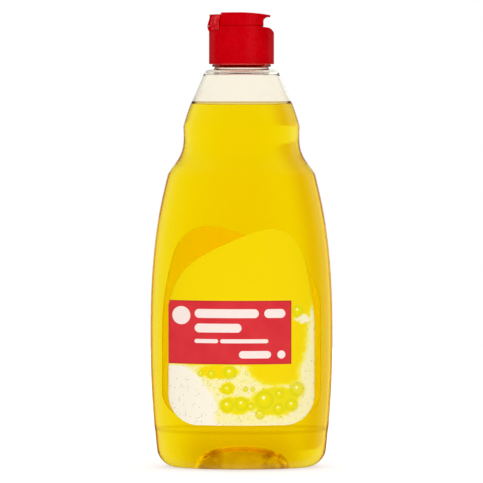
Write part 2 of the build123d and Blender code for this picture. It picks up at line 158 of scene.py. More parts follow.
def body_rings(growth, floor, top):
    """Rings (half width, half depth, height) up the body's side, from the heel's rounding to a height."""
    radius = HEEL_RADIUS + growth
    rings = []
    for angle in np.linspace(0, math.pi / 2, 14):
        height = floor + radius * (1 - math.cos(angle))
        inset = radius * (1 - math.sin(angle))
        a, b = section(height)
        rings.append((a + growth - inset, b + growth - inset, height))
    start = floor + radius
    heights = list(np.linspace(start, top, max(2, round((top - start) / RING_STEP)))[1:])
    for edge in (PANEL_FOOT[0], PANEL_EDGE[0], RIDGE[0], GRIP_FOOT[0]):
        if start < edge < top:
            nearest = min(range(len(heights) - 1), key=lambda k: abs(heights[k] - edge))
            heights[nearest] = edge
    for height in heights:
        a, b = section(height)
        rings.append((a + growth, b + growth, height))
    return rings


def punt_rings(growth, count=16):
    """Rings of the dome pushed up into the base, from just off its middle outwards."""
    half_width, half_depth, rise = (size + growth for size in PUNT)
    return [
        (half_width * math.sin(t), half_depth * math.sin(t), rise * math.cos(t))
        for t in np.linspace(0.04, math.pi / 2 - 0.06, count)
    ]


def punt_lip(steps, level):
    """Rings just outside the dome, each by how far out it lies and how far above a level."""
    return [(PUNT[0] + out, PUNT[1] + out, level + up) for out, up in steps]


def add_object(name, data):
    """Puts new data in the scene as an object."""
    obj = bpy.data.objects.new(name, data)
    bpy.context.scene.collection.objects.link(obj)
    return obj


def tidy_mesh(mesh):
    """Joins coincident points and points every face outwards."""
    built = bmesh.new()
    built.from_mesh(mesh)
    bmesh.ops.remove_doubles(built, verts=built.verts, dist=COINCIDENT)
    bmesh.ops.dissolve_degenerate(built, edges=built.edges, dist=COINCIDENT)
    bmesh.ops.recalc_face_normals(built, faces=built.faces)
    built.to_mesh(mesh)
    built.free()
    mesh.shade_smooth()


def shell_from_rings(name, rings):
    """Closed smooth mesh through elliptical rings, closed by a fan at each end."""
    mesh = bpy.data.meshes.new(name)
    angles = np.arange(AROUND) * 2 * math.pi / AROUND
    verts = [(0, 0, rings[0][2] * MM)]
    for a, b, z in rings:
        verts += [(a * math.cos(t) * MM, b * math.sin(t) * MM, z * MM) for t in angles]
    verts.append((0, 0, rings[-1][2] * MM))
    last = len(verts) - 1
    end = 1 + (len(rings) - 1) * AROUND
    faces = []
    for j in range(AROUND):
        k = (j + 1) % AROUND
        faces.append((0, 1 + k, 1 + j))
        for i in range(len(rings) - 1):
            low, high = 1 + i * AROUND, 1 + (i + 1) * AROUND
            faces.append((low + j, low + k, high + k, high + j))
        faces.append((end + j, end + k, last))
    mesh.from_pydata(verts, [], faces)
    tidy_mesh(mesh)
    return add_object(name, mesh)


def round_rings(points):
    """Circular rings from (radius, height) points."""
    return [(r, r, z) for r, z in points]


def bottle_rings():
    """Outside from the punt up to the neck's rim, then back down the inside."""
    slope = math.atan((UPPER[-2][1] - SHOULDER_RADIUS) / (SHOULDER_HEIGHT - UPPER[-2][0]))
    turn = math.pi / 2 - slope
    rounding = SHOULDER_ROUNDING
    tangent = rounding * math.tan(turn / 2)
    rings = punt_rings(0)
    rings += punt_lip([(0.4, 0.12), (1.0, 0.0)], 0.0)
    rings += body_rings(0, 0, SHOULDER_HEIGHT - tangent * math.cos(slope))
    brim = SHOULDER_RADIUS - tangent
    rings += round_rings(
        (brim + rounding * math.cos(t), SHOULDER_HEIGHT - rounding * (1 - math.sin(t)))
        for t in np.linspace(slope, math.pi / 2, 9)[1:]
    )
    root = NECK_ROOT_RADIUS
    rings += round_rings([(NECK_RADIUS + root + 0.1, SHOULDER_HEIGHT)])
    rings += round_rings(
        (NECK_RADIUS + root * (1 - math.sin(t)), SHOULDER_HEIGHT + root * (1 - math.cos(t)))
        for t in np.linspace(0, math.pi / 2, 7)[1:]
    )
    proud, soft = NECK_RADIUS + SUPPORT_RING, 0.35
    rings += round_rings([
        (NECK_RADIUS, RING_FOOT - 0.02),
        (NECK_RADIUS + 0.1, RING_FOOT),
        (proud - soft, RING_FOOT),
    ])
    for middle, start in ((RING_FOOT + soft, -math.pi / 2), (RING_TOP - soft, 0)):
        rings += round_rings(
            (proud - soft + soft * math.cos(t), middle + soft * math.sin(t))
            for t in np.linspace(start, start + math.pi / 2, 5)
        )
    bead, bore = NECK_RADIUS + NECK_BEAD, NECK_RADIUS - NECK_WALL
    ceiling = SHOULDER_HEIGHT - PET_WALL
    inner_brim = brim + 0.02 - 0.6
    rings += round_rings([
        (NECK_RADIUS + 0.1, RING_TOP),
        (NECK_RADIUS, RING_TOP + 0.1),
        (NECK_RADIUS, BEAD_FOOT),
        (bead - 0.1, BEAD_FOOT + 0.02),
        (bead, BEAD_FOOT + 0.12),
        (bead, BEAD_FOOT + 0.7),
        (NECK_RADIUS, BEAD_FOOT + 1.8),
        (NECK_RADIUS, NECK_TOP - 0.3),
        (NECK_RADIUS - 0.3, NECK_TOP),
        (bore + 0.3, NECK_TOP),
        (bore, NECK_TOP - 0.3),
        (bore, SHOULDER_HEIGHT + 6),
        (bore, SHOULDER_HEIGHT),
        (bore + 0.1, ceiling + 0.2),
        (bore + 0.4, ceiling),
        (inner_brim, ceiling),
    ])
    rounding -= PET_WALL
    rings += round_rings(
        (inner_brim + rounding * math.cos(t), ceiling - rounding * (1 - math.sin(t)))
        for t in np.linspace(math.pi / 2, slope, 8)[1:]
    )
    rings += body_rings(-PET_WALL, BASE_WALL, rings[-1][2] - 0.3)[::-1]
    rings += punt_lip([(1.9, 0.0), (1.0, 0.12)], BASE_WALL)
    return rings + punt_rings(PET_WALL)[::-1]


def liquid_rings():
    """Liquid from its foot up its side to the meniscus and the level top.

    Its side lies half way into the wall, so that no film of air shows between the two.
    """
    inset = PET_WALL / 2
    wall = punt_rings(inset)
    wall += punt_lip([(1.0, -0.2), (1.6, -inset)], BASE_WALL)
    wall += body_rings(-inset, BASE_WALL - inset, FILL_HEIGHT + MENISCUS_RISE / 2)
    for share in np.linspace(0, 1, 18):
        height = FILL_HEIGHT + MENISCUS_RISE * (1 - share) ** 2
        reach = PET_WALL + MENISCUS_REACH * share**2
        a, b = section(height)
        wall.append((a - reach, b - reach, height))
    a, b = section(FILL_HEIGHT)
    return wall + [(a * share, b * share, FILL_HEIGHT) for share in (0.7, 0.35)]


def label_outline():
    """Die-cut outline in front view, anticlockwise from the right side's top."""
    w, foot, r = LABEL_HALF_WIDTH, LABEL_FOOT, LABEL_CORNER_RADIUS
    left, right, peak = foot + LABEL_LEFT_SIDE, foot + LABEL_RIGHT_SIDE, foot + LABEL_HEIGHT
    # Knots of the arch: offsets from the sides, and shares of the rise from a side to the peak
    points = [
        (w, right),
        (w - 3.4, right + (peak - right) * 0.60),
        (w - 11.3, right + (peak - right) * 0.936),
        (LABEL_PEAK_OFFSET, peak),
        (LABEL_PEAK_OFFSET - 9.2, left + (peak - left) * 0.96),
        (-w + 24.2, left + (peak - left) * 0.766),
        (-w + 10.9, left + (peak - left) * 0.548),
        (-w + 4.9, left + (peak - left) * 0.368),
        (-w, left),
    ]
    # Knots just outside both ends hold the curve's end directions
    points = [(w, right - 2.0)] + points + [(-w - 0.3, left - 1.2)]
    length = run_length(points)
    xs, zs = zip(*points)
    arch = [
        (min(w, max(-w, natural_spline(length, xs, s))), natural_spline(length, zs, s))
        for s in np.linspace(length[1], length[-2], 240)
    ]
    corner = np.linspace(0, math.pi / 2, 20)
    lower_left = [(-w + r * (1 - math.cos(t)), foot + r * (1 - math.sin(t))) for t in corner]
    lower_right = [(w - r * (1 - math.sin(t)), foot + r * (1 - math.cos(t))) for t in corner]
    return arch + lower_left + lower_right


def crossing(outline, height):
    """Leftmost and rightmost x of an outline at a height."""
    found = []
    for (x0, z0), (x1, z1) in zip(outline, outline[1:] + outline[:1]):
        if (z0 - height) * (z1 - height) <= 0 and z0 != z1:
            found.append(x0 + (x1 - x0) * (height - z0) / (z1 - z0))
    return min(found), max(found)


def make_label(name, side, ink, back):
    """Film wrapped on the bottle's front (side -1) or back (side 1), as a closed thin shell."""
    outline = label_outline()
    low, high = min(z for _, z in outline), max(z for _, z in outline)
    hair = 1e-4  # keeps the first and the last row inside the outline
    verts = []
    for share in (1 - np.cos(np.linspace(0, math.pi, LABEL_ROWS))) / 2:
        height = min(max(low + (high - low) * share, low + hair), high - hair)
        a, b = (half - LABEL_SINK for half in section(height))
        left, right = crossing(outline, height)
        for x in np.linspace(left, right, LABEL_COLUMNS):
            y = -b * math.sqrt(1 - (x / a) ** 2)
            verts.append((-side * x * MM, -side * y * MM, height * MM))
    faces = []
    for i in range(LABEL_ROWS - 1):
        for j in range(LABEL_COLUMNS - 1):
            k = i * LABEL_COLUMNS + j
            faces.append((k, k + 1, k + LABEL_COLUMNS + 1, k + LABEL_COLUMNS))
    mesh = bpy.data.meshes.new(name)
    mesh.from_pydata(verts, [], faces)
    tidy_mesh(mesh)
    if mesh.polygons[len(mesh.polygons) // 2].normal.y * side < 0:
        mesh.flip_normals()
    mesh.materials.append(ink)
    mesh.materials.append(back)
    obj = add_object(name, mesh)
    film = obj.modifiers.new("film", "SOLIDIFY")
    film.thickness = LABEL_FILM * MM
    film.offset = 1
    film.material_offset = 1
    bpy.context.view_layer.update()
    solid = bpy.data.meshes.new_from_object(obj.evaluated_get(bpy.context.evaluated_depsgraph_get()))
    obj.modifiers.clear()
    obj.data = solid
    obj.data.name = name
    return obj


def make_strap(name, angle, path, width, film):
    """Thin plate that follows a path of (distance from the axis, height) on the flank at an angle from +X."""
    soft = 0.12  # rounding of its edges
    length = run_length(path)
    ds, zs = zip(*path)
    dense = [
        (natural_spline(length, ds, s), natural_spline(length, zs, s))
        for s in np.linspace(0, length[-1], STRAP_STEPS)
    ]
    profile = [(-width / 2, soft), (-width / 2 + soft, 0), (width / 2 - soft, 0), (width / 2, soft)]
    profile += [(-u, film - v) for u, v in profile]
    around = []
    for (u0, v0), (u1, v1) in zip(profile, profile[1:] + profile[:1]):
        count = STRAP_COLUMNS if abs(u1 - u0) > 1 else 1
        around += [(u0 + (u1 - u0) * k / count, v0 + (v1 - v0) * k / count) for k in range(count)]
    outward = Vector((math.cos(angle), math.sin(angle), 0))
    across = Vector((-math.sin(angle), math.cos(angle), 0))
    verts = []
    for i, (d, z) in enumerate(dense):
        pinch = soft if i in (0, len(dense) - 1) else 0.0
        for u, v in around:
            u -= math.copysign(min(pinch, abs(u)), u)
            v = min(max(v, pinch * 0.7), film - pinch * 0.7)
            verts.append((outward * (d + v) + across * u + Vector((0, 0, z))) * MM)
    n = len(around)
    faces = [tuple(range(n))[::-1], tuple((len(dense) - 1) * n + k for k in range(n))]
    for i in range(len(dense) - 1):
        for j in range(n):
            k = (j + 1) % n
            faces.append((i * n + j, i * n + k, (i + 1) * n + k, (i + 1) * n + j))
    mesh = bpy.data.meshes.new(name)
    mesh.from_pydata(verts, [], faces)
    tidy_mesh(mesh)
    return add_object(name, mesh)


class Graph:
    """Short calls that build the nodes of one material or of the world."""

    def __init__(self, tree):
        self.nodes, self.links = tree.nodes, tree.links

    def put(self, socket, value):
        """Links another node's output to a socket, or writes a plain value in it."""
        if isinstance(value, bpy.types.NodeSocket):
            self.links.new(value, socket)
        elif isinstance(value, tuple) and len(value) == 3 and len(socket.default_value) == 4:
            socket.default_value = (*value, 1)
        else:
            socket.default_value = value

    def node(self, kind, inputs):
        """New node with the given inputs filled in, by name or by place."""
        node = self.nodes.new("ShaderNode" + kind)
        for key, value in inputs.items():
            self.put(node.inputs[key], value)
        return node

    def math(self, operation, *values, clamp=False):
        node = self.node("Math", dict(enumerate(values)))
        node.operation, node.use_clamp = operation, clamp
        return node.outputs[0]

    def fold(self, operation, values):
        """One operation along a row of values, from the left."""
        result, *others = values
        for value in others:
            result = self.math(operation, result, value)
        return result

    def times(self, *values):
        return self.fold("MULTIPLY", values)

    def plus(self, *values):
        return self.fold("ADD", values)

    def minus(self, a, b):
        return self.math("SUBTRACT", a, b)

    def highest(self, *values):
        return self.fold("MAXIMUM", values)

    def lowest(self, *values):
        return self.fold("MINIMUM", values)

    def size(self, value):
        return self.math("ABSOLUTE", value)

    def vector(self, operation, a, b=(0, 0, 0)):
        node = self.nodes.new("ShaderNodeVectorMath")
        node.operation = operation
        self.put(node.inputs[0], a)
        self.put(node.inputs["Scale" if operation == "SCALE" else 1], b)
        return node.outputs["Value" if operation in ("LENGTH", "DISTANCE") else "Vector"]

    def split(self, vector):
        """The three parts of a vector."""
        return tuple(self.node("SeparateXYZ", {0: vector}).outputs)

    def smooth(self, value, low, high, start=0.0, end=1.0):
        """Smooth step from start at low to end at high."""
        inputs = {"Value": value, "From Min": low, "From Max": high, "To Min": start, "To Max": end}
        node = self.node("MapRange", inputs)
        node.interpolation_type = "SMOOTHSTEP"
        return node.outputs["Result"]

    def mix(self, factor, a, b):
        node = self.nodes.new("ShaderNodeMix")
        node.data_type = "RGBA"
        for key, value in (("Factor", factor), (6, a), (7, b)):
            self.put(node.inputs[key], value)
        return node.outputs[2]

    def ramp(self, value, stops):
        node = self.node("ValToRGB", {0: value})
        elements = node.color_ramp.elements
        for place, _ in stops[2:]:
            elements.new(place)
        for element, (place, colour) in zip(elements, stops):
            element.position, element.color = place, (*colour, 1)
        return node.outputs[0]

    def curve(self, value, points):
        """Curve through (value, result) points, both from 0 to 1."""
        node = self.node("FloatCurve", {"Value": value})
        line = node.mapping.curves[0].points
        line[0].location, line[1].location = points[0], points[-1]
        for point in points[1:-1]:
            line.new(*point)
        node.mapping.update()
        return node.outputs[0]

    def noise(self, vector, scale, detail=2.0, roughness=0.5, output="Fac"):
        inputs = {"Vector": vector, "Scale": scale, "Detail": detail, "Roughness": roughness}
        return self.node("TexNoise", inputs).outputs[output]

    def cloud(self, vector, scale, detail=2.0):
        """Soft clouds from 0 to 1."""
        return self.smooth(self.noise(vector, scale, detail), 0.3, 0.7)

    def voronoi(self, vector, scale, feature="F1"):
        node = self.nodes.new("ShaderNodeTexVoronoi")
        node.feature = feature
        for key, value in (("Vector", vector), ("Scale", scale), ("Randomness", 1.0)):
            self.put(node.inputs[key], value)
        return node.outputs

    def place(self):
        """Position in millimetres, and its x, y and z."""
        coordinates = self.nodes.new("ShaderNodeTexCoord").outputs["Object"]
        position = self.vector("SCALE", coordinates, 1000.0)
        return position, *self.split(position)

    def flat(self, x, z):
        """Point of the front view, as (x, z, 0)."""
        return self.node("CombineXYZ", {0: x, 1: z}).outputs[0]

    def bump(self, height, distance, strength):
        inputs = {"Height": height, "Distance": distance, "Strength": strength}
        return self.node("Bump", inputs).outputs[0]


class Finish(Graph):
    """Nodes of one material round its Principled shader."""

    def __init__(self, name):
        self.material = bpy.data.materials.new(name)
        self.material.use_nodes = True
        super().__init__(self.material.node_tree)

    def set(self, name, value):
        self.put(self.nodes["Principled BSDF"].inputs[name], value)


def rgb(*levels):
    """Linear colour from the usual 0 to 255 levels."""
    shares = (level / 255 for level in levels)
    return tuple(v / 12.92 if v <= 0.04045 else ((v + 0.055) / 1.055) ** 2.4 for v in shares)


# Refractive indices, set lower than the real ones so that the clear edges stay pale
PET_INDEX, LIQUID_INDEX = 1.27, 1.15
PLASTIC_INDEX, FILM_INDEX = 1.49, 1.45
SATIN = 0.2  # specular level of the cap and the label film

CLEAR, CLEAR_WARM = (0.975, 0.950, 0.870), (0.980, 0.945, 0.865)
# Painted shade along the panel's step, and a painted reflection of the red cap on the neck
FOLD_SHADE, NECK_CAP_REFLECTION = (0.80, 0.68, 0.45), (0.70, 0.09, 0.08)

# The liquid's tints; the last of them is painted shade low down
LIQUID_EVEN, LIQUID_WARM, LIQUID_LOW_SHADE = (1.0, 1.0, 0.97), (1.0, 0.985, 0.93), (0.80, 0.66, 0.6)
# Painted shade over the dome in the base: its paler tone and its darker streaks
DOME_SHADE_PALE, DOME_SHADE_STREAK = (0.95, 0.86, 0.55), (0.56, 0.37, 0.08)
ABSORPTION, ABSORPTION_DENSITY = (0.988, 0.943, 0.014), 140

# The cap's reds, and a pink for pale stress marks and painted highlights on the hinge's creases
CAP_RED, CAP_RED_LIGHT, STRESS_AND_GLINT_PINK = rgb(193, 0, 12), rgb(203, 2, 15), rgb(250, 70, 80)

YELLOW, YELLOW_LIGHT, YELLOW_GREEN = rgb(239, 209, 0), rgb(250, 224, 12), rgb(230, 214, 14)
PRINT_WHITE, FIELD_WHITE = rgb(243, 226, 218), rgb(250, 243, 222)
FOAM_STOPS = [(0.0, YELLOW), (0.35, rgb(240, 221, 44)), (0.68, rgb(242, 230, 130)), (1.0, rgb(243, 235, 216))]
BUBBLE_STOPS = [
    (0.0, rgb(236, 219, 10)),
    (0.5, rgb(228, 214, 8)),
    (0.85, rgb(214, 205, 12)),
    (1.0, rgb(226, 216, 40)),
]


def pet_material():
    """Clear PET: slightly warm, with the faint waviness of a blown wall and its parting line, painted shade
    along the panel's step and a painted reflection of the red cap on the neck.
    """
    g = Finish("clear_pet")
    position, x, y, z = g.place()
    warm = g.mix(g.cloud(position, 0.05), CLEAR, CLEAR_WARM)
    step = PANEL_FOOT_HEIGHT + PANEL_STEP_HEIGHT / 2
    # Painted shade: a darker band along the panel's step
    fold = g.smooth(g.size(g.minus(z, step)), 1.3, 0.2)
    warm = g.mix(g.times(fold, 0.5), warm, FOLD_SHADE)
    # Painted reflection: the red cap, dark as in shade, is painted into the clear neck from the support ring
    # to the snap bead
    cap_reflection = g.times(g.smooth(z, RING_FOOT - 1.2, RING_FOOT - 0.1), g.smooth(z, BEAD_FOOT, RIM_HEIGHT))
    g.set("Base Color", g.mix(cap_reflection, warm, NECK_CAP_REFLECTION))
    g.set("Transmission Weight", 1.0)
    g.set("IOR", PET_INDEX)
    g.set("Roughness", g.smooth(g.noise(position, 0.06, 3), 0.35, 0.75, 0.004, 0.03))
    waves = g.noise(position, 0.045, 1)
    parting = g.times(g.smooth(g.size(y), 0.0, 0.16, 1.0, 0.0), g.smooth(g.size(x), 15.0, 17.0))
    height = g.plus(g.times(waves, 0.5), g.times(parting, 0.25))
    g.set("Normal", g.bump(height, 0.00012, 0.6))
    return g.material


def liquid_material():
    """Clear yellow liquid, with painted shade low down and in streaks over the dome in the base."""
    g = Finish("lemon_liquid")
    position, x, _, z = g.place()
    even = g.mix(g.noise(position, 0.05, 2), LIQUID_EVEN, LIQUID_WARM)
    # Painted shade: darker low down near the middle, where the floor's shadow would show through
    low_shade = g.times(g.smooth(z, 27.0, 4.0), g.smooth(g.size(x), 36.0, 16.0))
    tint = g.mix(low_shade, even, LIQUID_LOW_SHADE)
    # Light that crosses the dome comes up from under the bottle; painted shade over the dome, darker in
    # streaks at its flanks, stands in for the floor's shadow there
    dome = tuple(1 / (size + 1.0) for size in PUNT)
    away = g.vector("LENGTH", g.vector("MULTIPLY", position, dome))
    streaks = g.noise(g.vector("MULTIPLY", position, (0.16, 0.05, 0.30)), 1.0, 3)
    flank = g.smooth(g.size(x), 6.0, 14.0, 0.25, 1.0)
    shade = g.mix(g.times(g.smooth(streaks, 0.40, 0.58), flank), DOME_SHADE_PALE, DOME_SHADE_STREAK)
    g.set("Base Color", g.mix(g.smooth(away, 1.06, 1.01), tint, shade))
    g.set("Transmission Weight", 1.0)
    g.set("IOR", LIQUID_INDEX)
    g.set("Roughness", 0.0)
    volume = g.node("VolumeAbsorption", {"Color": ABSORPTION, "Density": ABSORPTION_DENSITY})
    g.put(g.nodes["Material Output"].inputs["Volume"], volume.outputs[0])
    return g.material


def plastic_material(name, folded=False):
    """Glossy red polypropylene with moulding grain and, where folded, pale stress marks and painted
    highlights along the creases.
    """
    g = Finish(name)
    position = g.place()[0]
    colour = g.mix(g.cloud(position, 0.12, 3), CAP_RED, CAP_RED_LIGHT)
    if folded:
        # Pale stress marks, and painted highlights along the creases
        creases = g.noise(g.vector("MULTIPLY", position, (1.3, 1.3, 0.6)), 0.7, 3, 0.6)
        ridge = g.smooth(g.size(g.minus(creases, 0.5)), 0.05, 0.0, 0.0, 0.55)
        stress_and_glint = g.highest(ridge, g.smooth(creases, 0.46, 0.70, 0.0, 0.8))
        colour = g.mix(stress_and_glint, colour, STRESS_AND_GLINT_PINK)
        rough = g.smooth(creases, 0.4, 0.7, 0.18, 0.3)
        height, distance = creases, 0.0006
    else:
        rough = g.smooth(g.noise(position, 0.35, 4, 0.6), 0.3, 0.75, 0.24, 0.36)
        height, distance = g.times(g.noise(position, 3.0, 2), 0.3), 0.000004
    g.set("Base Color", colour)
    g.set("Roughness", rough)
    g.set("IOR", PLASTIC_INDEX)
    g.set("Specular IOR Level", SATIN)
    g.set("Normal", g.bump(height, distance, 0.5))
    return g.material


# The front print, in millimetres across from the middle and up from the floor
PANEL_RIGHT, PANEL_LOW, PANEL_HIGH = 23.7, 50.8, 81.0
CRISP = 0.12  # half the width of a printed edge
# Bars that stand where print was: centre x, centre z, half length, half height
BARS = [
    (-7.0, 74.9, 15.2, 2.1),
    (15.8, 74.9, 5.0, 2.1),
    (-11.1, 68.0, 11.1, 2.1),
    (-16.7, 61.8, 5.6, 0.95),
    (1.3, 61.8, 11.4, 0.95),
    (6.4, 55.4, 7.6, 1.75),
]
DISCS = [(-28.6, 73.9, 4.3), (18.9, 55.4, 1.9)]
# Printed bubbles: x, z, radius
BUBBLES = [
    (-5.5, 46.9, 3.4),
    (26.7, 76.0, 3.0),
    (10.9, 33.9, 4.8),
    (0.0, 31.9, 3.6),
    (-6.8, 31.2, 3.5),
    (26.5, 38.7, 3.8),
    (23.8, 31.2, 3.4),
    (8.8, 27.1, 2.6),
    (17.6, 29.6, 2.9),
    (-6.8, 39.0, 2.6),
    (-14.3, 46.1, 2.1),
    (-19.4, 46.3, 1.6),
    (4.4, 30.6, 2.0),
    (2.0, 39.0, 1.4),
    (5.4, 39.0, 1.2),
    (18.0, 36.5, 2.4),
]
# Soft yellow patches in the foam: x, z, half width, half height
PATCHES = [
    (17.5, 49.5, 15.5, 9.5),
    (27.3, 62.0, 4.6, 14.5),
    (-11.0, 47.4, 10.5, 3.6),
    (-6.5, 39.3, 3.8, 3.4),
    (-2.5, 31.3, 9.0, 4.6),
    (16.5, 33.2, 12.8, 7.4),
    (26.5, 77.0, 5.0, 4.0),
]
# Edges of the foam at the left and the right: share of its height, share of the film's width
FOAM_FOOT, LEFT_FOAM_HEIGHT, RIGHT_FOAM_HEIGHT, FOAM_SPAN = 20.0, 35.0, 62.0, 72.0
LEFT_FOAM = [(0.0, 0.42), (0.18, 0.345), (0.32, 0.36), (0.5, 0.32), (0.66, 0.265), (0.83, 0.18), (1.0, 0.1)]
RIGHT_FOAM = [
    (0.0, 0.55),
    (0.08, 0.74),
    (0.2, 0.86),
    (0.33, 0.885),
    (0.42, 0.87),
    (0.6, 0.915),
    (0.8, 0.93),
    (0.92, 0.955),
    (1.0, 1.0),
]


def foam_edge(g, height, rise, points):
    """How far across the film an edge of the foam lies, at each height."""
    share = g.math("DIVIDE", g.minus(height, FOAM_FOOT), rise, clamp=True)
    return g.minus(g.times(g.curve(share, points), FOAM_SPAN), FOAM_SPAN / 2)


def foam_share(g, plane, x, z):
    """How pale the foam is, how much of it is half pale, and where there is foam at all."""
    wobble = g.vector("SUBTRACT", g.noise(plane, 0.35, 3, output="Color"), (0.5, 0.5, 0.5))
    moved = g.vector("ADD", plane, g.vector("SCALE", wobble, 3.2))
    mx, mz, _ = g.split(moved)
    left = g.minus(foam_edge(g, mz, LEFT_FOAM_HEIGHT, LEFT_FOAM), mx)
    right = g.minus(mx, foam_edge(g, mz, RIGHT_FOAM_HEIGHT, RIGHT_FOAM))
    pale = g.highest(
        g.smooth(left, -3.5, 3.0),
        g.smooth(right, -2.0, 2.6, 0.0, 0.84),
        g.smooth(mz, 27.5, 22.5, 0.0, 0.86),
    )
    cover = []
    for cx, cz, rx, rz in PATCHES:
        away = g.vector("MULTIPLY", g.vector("SUBTRACT", moved, (cx, cz, 0)), (1 / rx, 1 / rz, 0))
        cover.append(g.smooth(g.vector("LENGTH", away), 0.72, 1.08, 1.0, 0.0))
    below = g.smooth(z, PANEL_LOW + 1.5, PANEL_LOW - 1.5)
    middle = g.times(g.minus(1.0, g.highest(*cover)), 0.8, below)
    tuft = g.vector("MULTIPLY", g.vector("SUBTRACT", moved, (29.5, 72.0, 0)), (0.2, 0.42, 0))
    tuft = g.smooth(g.vector("LENGTH", tuft), 0.6, 1.15, 0.9, 0.0)
    pale = g.highest(pale, middle, g.times(tuft, g.smooth(x, 22.0, 24.0)))
    zone = g.highest(below, g.times(g.smooth(x, 22.0, 23.0), g.smooth(z, 83.0, 79.5)))
    pale = g.times(pale, zone)
    uneven = g.smooth(g.voronoi(plane, 0.85, "SMOOTH_F1")["Distance"], 0.1, 0.75, 0.06, -0.10)
    half = g.times(pale, g.minus(1.0, pale), 4.0)
    pale = g.math("ADD", pale, g.times(uneven, g.plus(half, 0.12)), clamp=True)
    return pale, half, zone


def foam_print(g, plane, x, z):
    """Yellow film with printed foam, bubbles and specks."""
    pale, half, zone = foam_share(g, plane, x, z)
    lemon = g.ramp(pale, FOAM_STOPS)
    greener = g.times(g.smooth(z, 44.5, 39.5), g.smooth(pale, 0.5, 0.0))
    lemon = g.mix(greener, lemon, YELLOW_GREEN)

    depths, sparks = [], []
    for cx, cz, radius in BUBBLES:
        spark = (cx - 0.1 * radius, cz + 0.22 * radius, 0)
        depths.append(g.math("DIVIDE", g.vector("DISTANCE", plane, (cx, cz, 0)), radius))
        sparks.append(g.math("DIVIDE", g.vector("DISTANCE", plane, spark), radius))
    depth = g.lowest(*depths)
    ball = g.ramp(depth, BUBBLE_STOPS)
    bubbled = g.mix(g.smooth(depth, 1.22, 0.72, 0.0, 0.9), lemon, ball)
    bubbled = g.mix(g.smooth(g.lowest(*sparks), 0.22, 0.08, 0.0, 0.8), bubbled, rgb(255, 250, 205))

    ring = g.size(g.minus(g.voronoi(plane, 0.62)["Distance"], 0.24))
    fine = g.times(g.smooth(ring, 0.12, 0.03), g.smooth(half, 0.25, 0.8, 0.0, 0.22))
    bubbled = g.mix(fine, bubbled, rgb(196, 188, 30))

    specks = g.voronoi(plane, 0.95)
    chosen = g.node("SeparateColor", {0: specks["Color"]}).outputs[0]
    dots = g.times(g.smooth(specks["Distance"], 0.27, 0.13), g.smooth(chosen, 0.68, 0.74))
    dots = g.times(dots, g.smooth(pale, 0.12, 0.35, 0.0, 0.8), zone)
    return g.mix(dots, bubbled, rgb(128, 122, 40))


def panel_print(g, plane, x, z):
    """Red panel, darker at its edge, with plain bars and discs where words and a mark were."""
    red = g.mix(g.cloud(plane, 0.09), rgb(210, 46, 54), rgb(216, 54, 60))
    edge = g.lowest(g.minus(PANEL_RIGHT, x), g.minus(z, PANEL_LOW), g.minus(PANEL_HIGH, z))
    red = g.mix(g.smooth(edge, 0.0, 0.9, 0.45, 0.0), red, rgb(150, 20, 26))
    white = []
    for cx, cz, half_length, half_height in BARS:
        across = g.highest(g.minus(g.size(g.minus(x, cx)), half_length - half_height), 0.0)
        up = g.minus(z, cz)
        away = g.math("SQRT", g.plus(g.times(across, across), g.times(up, up)))
        white.append(g.smooth(away, half_height + CRISP, half_height - CRISP))
    for cx, cz, radius in DISCS:
        white.append(g.smooth(g.vector("DISTANCE", plane, (cx, cz, 0)), radius + CRISP, radius - CRISP))
    return g.mix(g.highest(*white), red, PRINT_WHITE)


def front_print():
    """Lemon film with a red panel, plain bars where words were, and printed foam below."""
    g = Finish("front_print")
    position, x, _, z = g.place()
    plane = g.flat(x, z)
    inside = g.times(
        g.smooth(x, PANEL_RIGHT + 0.1, PANEL_RIGHT - 0.1),
        g.smooth(z, PANEL_LOW - 0.1, PANEL_LOW + 0.1),
        g.smooth(z, PANEL_HIGH + 0.1, PANEL_HIGH - 0.1),
    )
    g.set("Base Color", g.mix(inside, foam_print(g, plane, x, z), panel_print(g, plane, x, z)))
    finish_film(g, position)
    return g.material


def finish_film(g, position):
    """Satin film: fine grain, slight unevenness of the gloss and of the glued surface."""
    g.set("Roughness", g.smooth(g.noise(position, 0.5, 3), 0.3, 0.7, 0.30, 0.42))
    height = g.plus(g.noise(position, 0.10, 1), g.times(g.noise(position, 4.0, 1), 0.05))
    g.set("Normal", g.bump(height, 0.00015, 0.5))
    g.set("IOR", FILM_INDEX)
    g.set("Specular IOR Level", SATIN)


# The back print: its half width, the ends of its field and of its band, and the rules' pitch
BACK_HALF_WIDTH, RULE_HALF_WIDTH, RULE_PITCH = 23.6, 21.5, 2.4
FIELD_LOW, FIELD_HIGH, BAND_LOW, BAND_HIGH = 30.8, 64.2, 67.0, 81.0


def back_print():
    """The back film: the same lemon, a red band, and a pale field with plain rules."""
    g = Finish("back_print")
    position, x, _, z = g.place()
    sideways = g.size(x)
    lemon = g.mix(g.cloud(position, 0.08), YELLOW, YELLOW_LIGHT)
    rules = g.size(g.minus(g.math("FRACT", g.math("DIVIDE", z, RULE_PITCH)), 0.5))
    inset = g.smooth(sideways, RULE_HALF_WIDTH + 0.2, RULE_HALF_WIDTH - 0.2)
    lines = g.times(g.smooth(rules, 0.17, 0.10), inset, 0.7)
    field = g.mix(lines, FIELD_WHITE, rgb(120, 108, 84))
    beside = g.smooth(sideways, BACK_HALF_WIDTH + 0.1, BACK_HALF_WIDTH - 0.1)
    zones = [
        g.times(beside, g.smooth(z, low - 0.2, low + 0.2), g.smooth(z, high + 0.2, high - 0.2))
        for low, high in ((FIELD_LOW, FIELD_HIGH), (BAND_LOW, BAND_HIGH))
    ]
    red = g.mix(g.cloud(position, 0.09), rgb(208, 38, 50), rgb(221, 58, 64))
    g.set("Base Color", g.mix(zones[1], g.mix(zones[0], lemon, field), red))
    finish_film(g, position)
    return g.material


